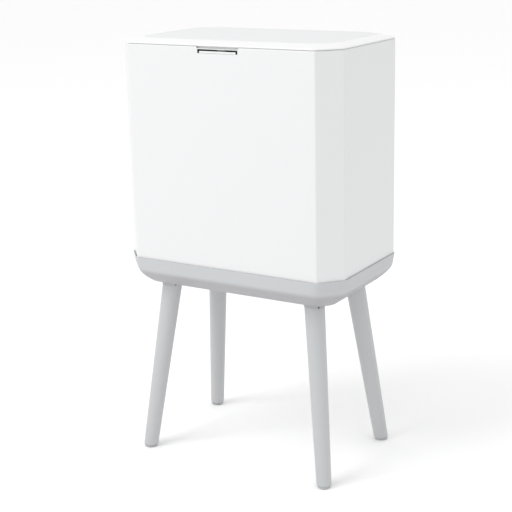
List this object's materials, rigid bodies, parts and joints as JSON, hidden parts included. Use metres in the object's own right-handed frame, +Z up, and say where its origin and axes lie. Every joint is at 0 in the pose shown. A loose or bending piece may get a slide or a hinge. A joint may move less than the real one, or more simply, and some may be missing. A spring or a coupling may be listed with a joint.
{
  "type": "waste bin on legs",
  "caption": "Rectangular waste bin with chamfered corners on splayed legs, with a push-to-open hinged lid, a front release button and a lift-out bucket.",
  "frame": {"origin": "on the floor under the middle of the bin", "axes": "+X to the right seen from the front, +Y to the back, +Z up; the release button faces -Y"},
  "size_m": [0.405, 0.255, 0.7083],
  "materials": {
    "white_lacquer": "satin powder coat on folded steel sheet",
    "white_moulding": "satin white moulded plastic",
    "panel_sheet": "fine matt sheet",
    "button_white": "satin white moulded plastic",
    "grey_moulding": "fine matt grey moulded plastic",
    "leg_grey": "painted grey, satin",
    "frame_white": "fine matt white moulded plastic",
    "bucket_grey": "fine-grained moulded plastic",
    "latch_plastic": "black moulded plastic",
    "pad_rubber": "grey rubber",
    "black_rubber": "soft rubber",
    "zinc_sheet": "zinc-plated sheet",
    "screw_steel": "zinc-plated steel",
    "spring_steel": "bright spring wire"
  },
  "bodies": {
    "cabinet": {"body_shell": "white_lacquer", "base_tray": "grey_moulding", "floor_panel": "zinc_sheet", "base_screws": "screw_steel", "leg_front_left": "leg_grey", "leg_front_right": "leg_grey", "leg_rear_left": "leg_grey", "leg_rear_right": "leg_grey", "foot_pad_front_left": "pad_rubber", "foot_pad_front_right": "pad_rubber", "foot_pad_rear_left": "pad_rubber", "foot_pad_rear_right": "pad_rubber", "leg_bolts": "screw_steel", "top_frame": "frame_white", "lid_buffers": "black_rubber", "inner_bucket": "bucket_grey", "hinge_pin_left": "screw_steel", "hinge_pin_right": "screw_steel", "lid_spring_left": "spring_steel", "lid_spring_right": "spring_steel", "latch_housing": "latch_plastic", "housing_screws": "screw_steel", "button_pin": "screw_steel", "hook_pin": "screw_steel", "button_spring": "spring_steel", "hook_spring": "spring_steel"},
    "lid": {"lid_skin": "white_moulding", "lid_panel": "panel_sheet", "lid_liner": "frame_white", "lid_screws": "screw_steel", "lid_catch": "screw_steel", "catch_screws": "screw_steel"},
    "button": {"release_button": "button_white"},
    "hook": {"latch_hook": "latch_plastic"}
  },
  "joints": [
    {"name": "lid_hinge", "type": "hinge", "parent": "cabinet", "child": "lid", "pos_m": [0, 0.122, 0.6977], "axis": [-1, 0, 0], "range_deg": [0, 80], "deforming": ["lid_spring_left", "lid_spring_right"]},
    {"name": "button_press", "type": "hinge", "parent": "cabinet", "child": "button", "pos_m": [0, -0.119, 0.68], "axis": [-1, 0, 0], "range_deg": [0, 8], "stiffness_Nm_per_rad": 0.4, "deforming": ["button_spring"]},
    {"name": "hook_release", "type": "hinge", "parent": "cabinet", "child": "hook", "pos_m": [0, -0.1065, 0.678], "axis": [-1, 0, 0], "range_deg": [0, 8], "deforming": ["hook_spring"]}
  ],
  "couplings": [
    {"joint": "hook_release", "follows": "button_press", "ratio": 1}
  ]
}
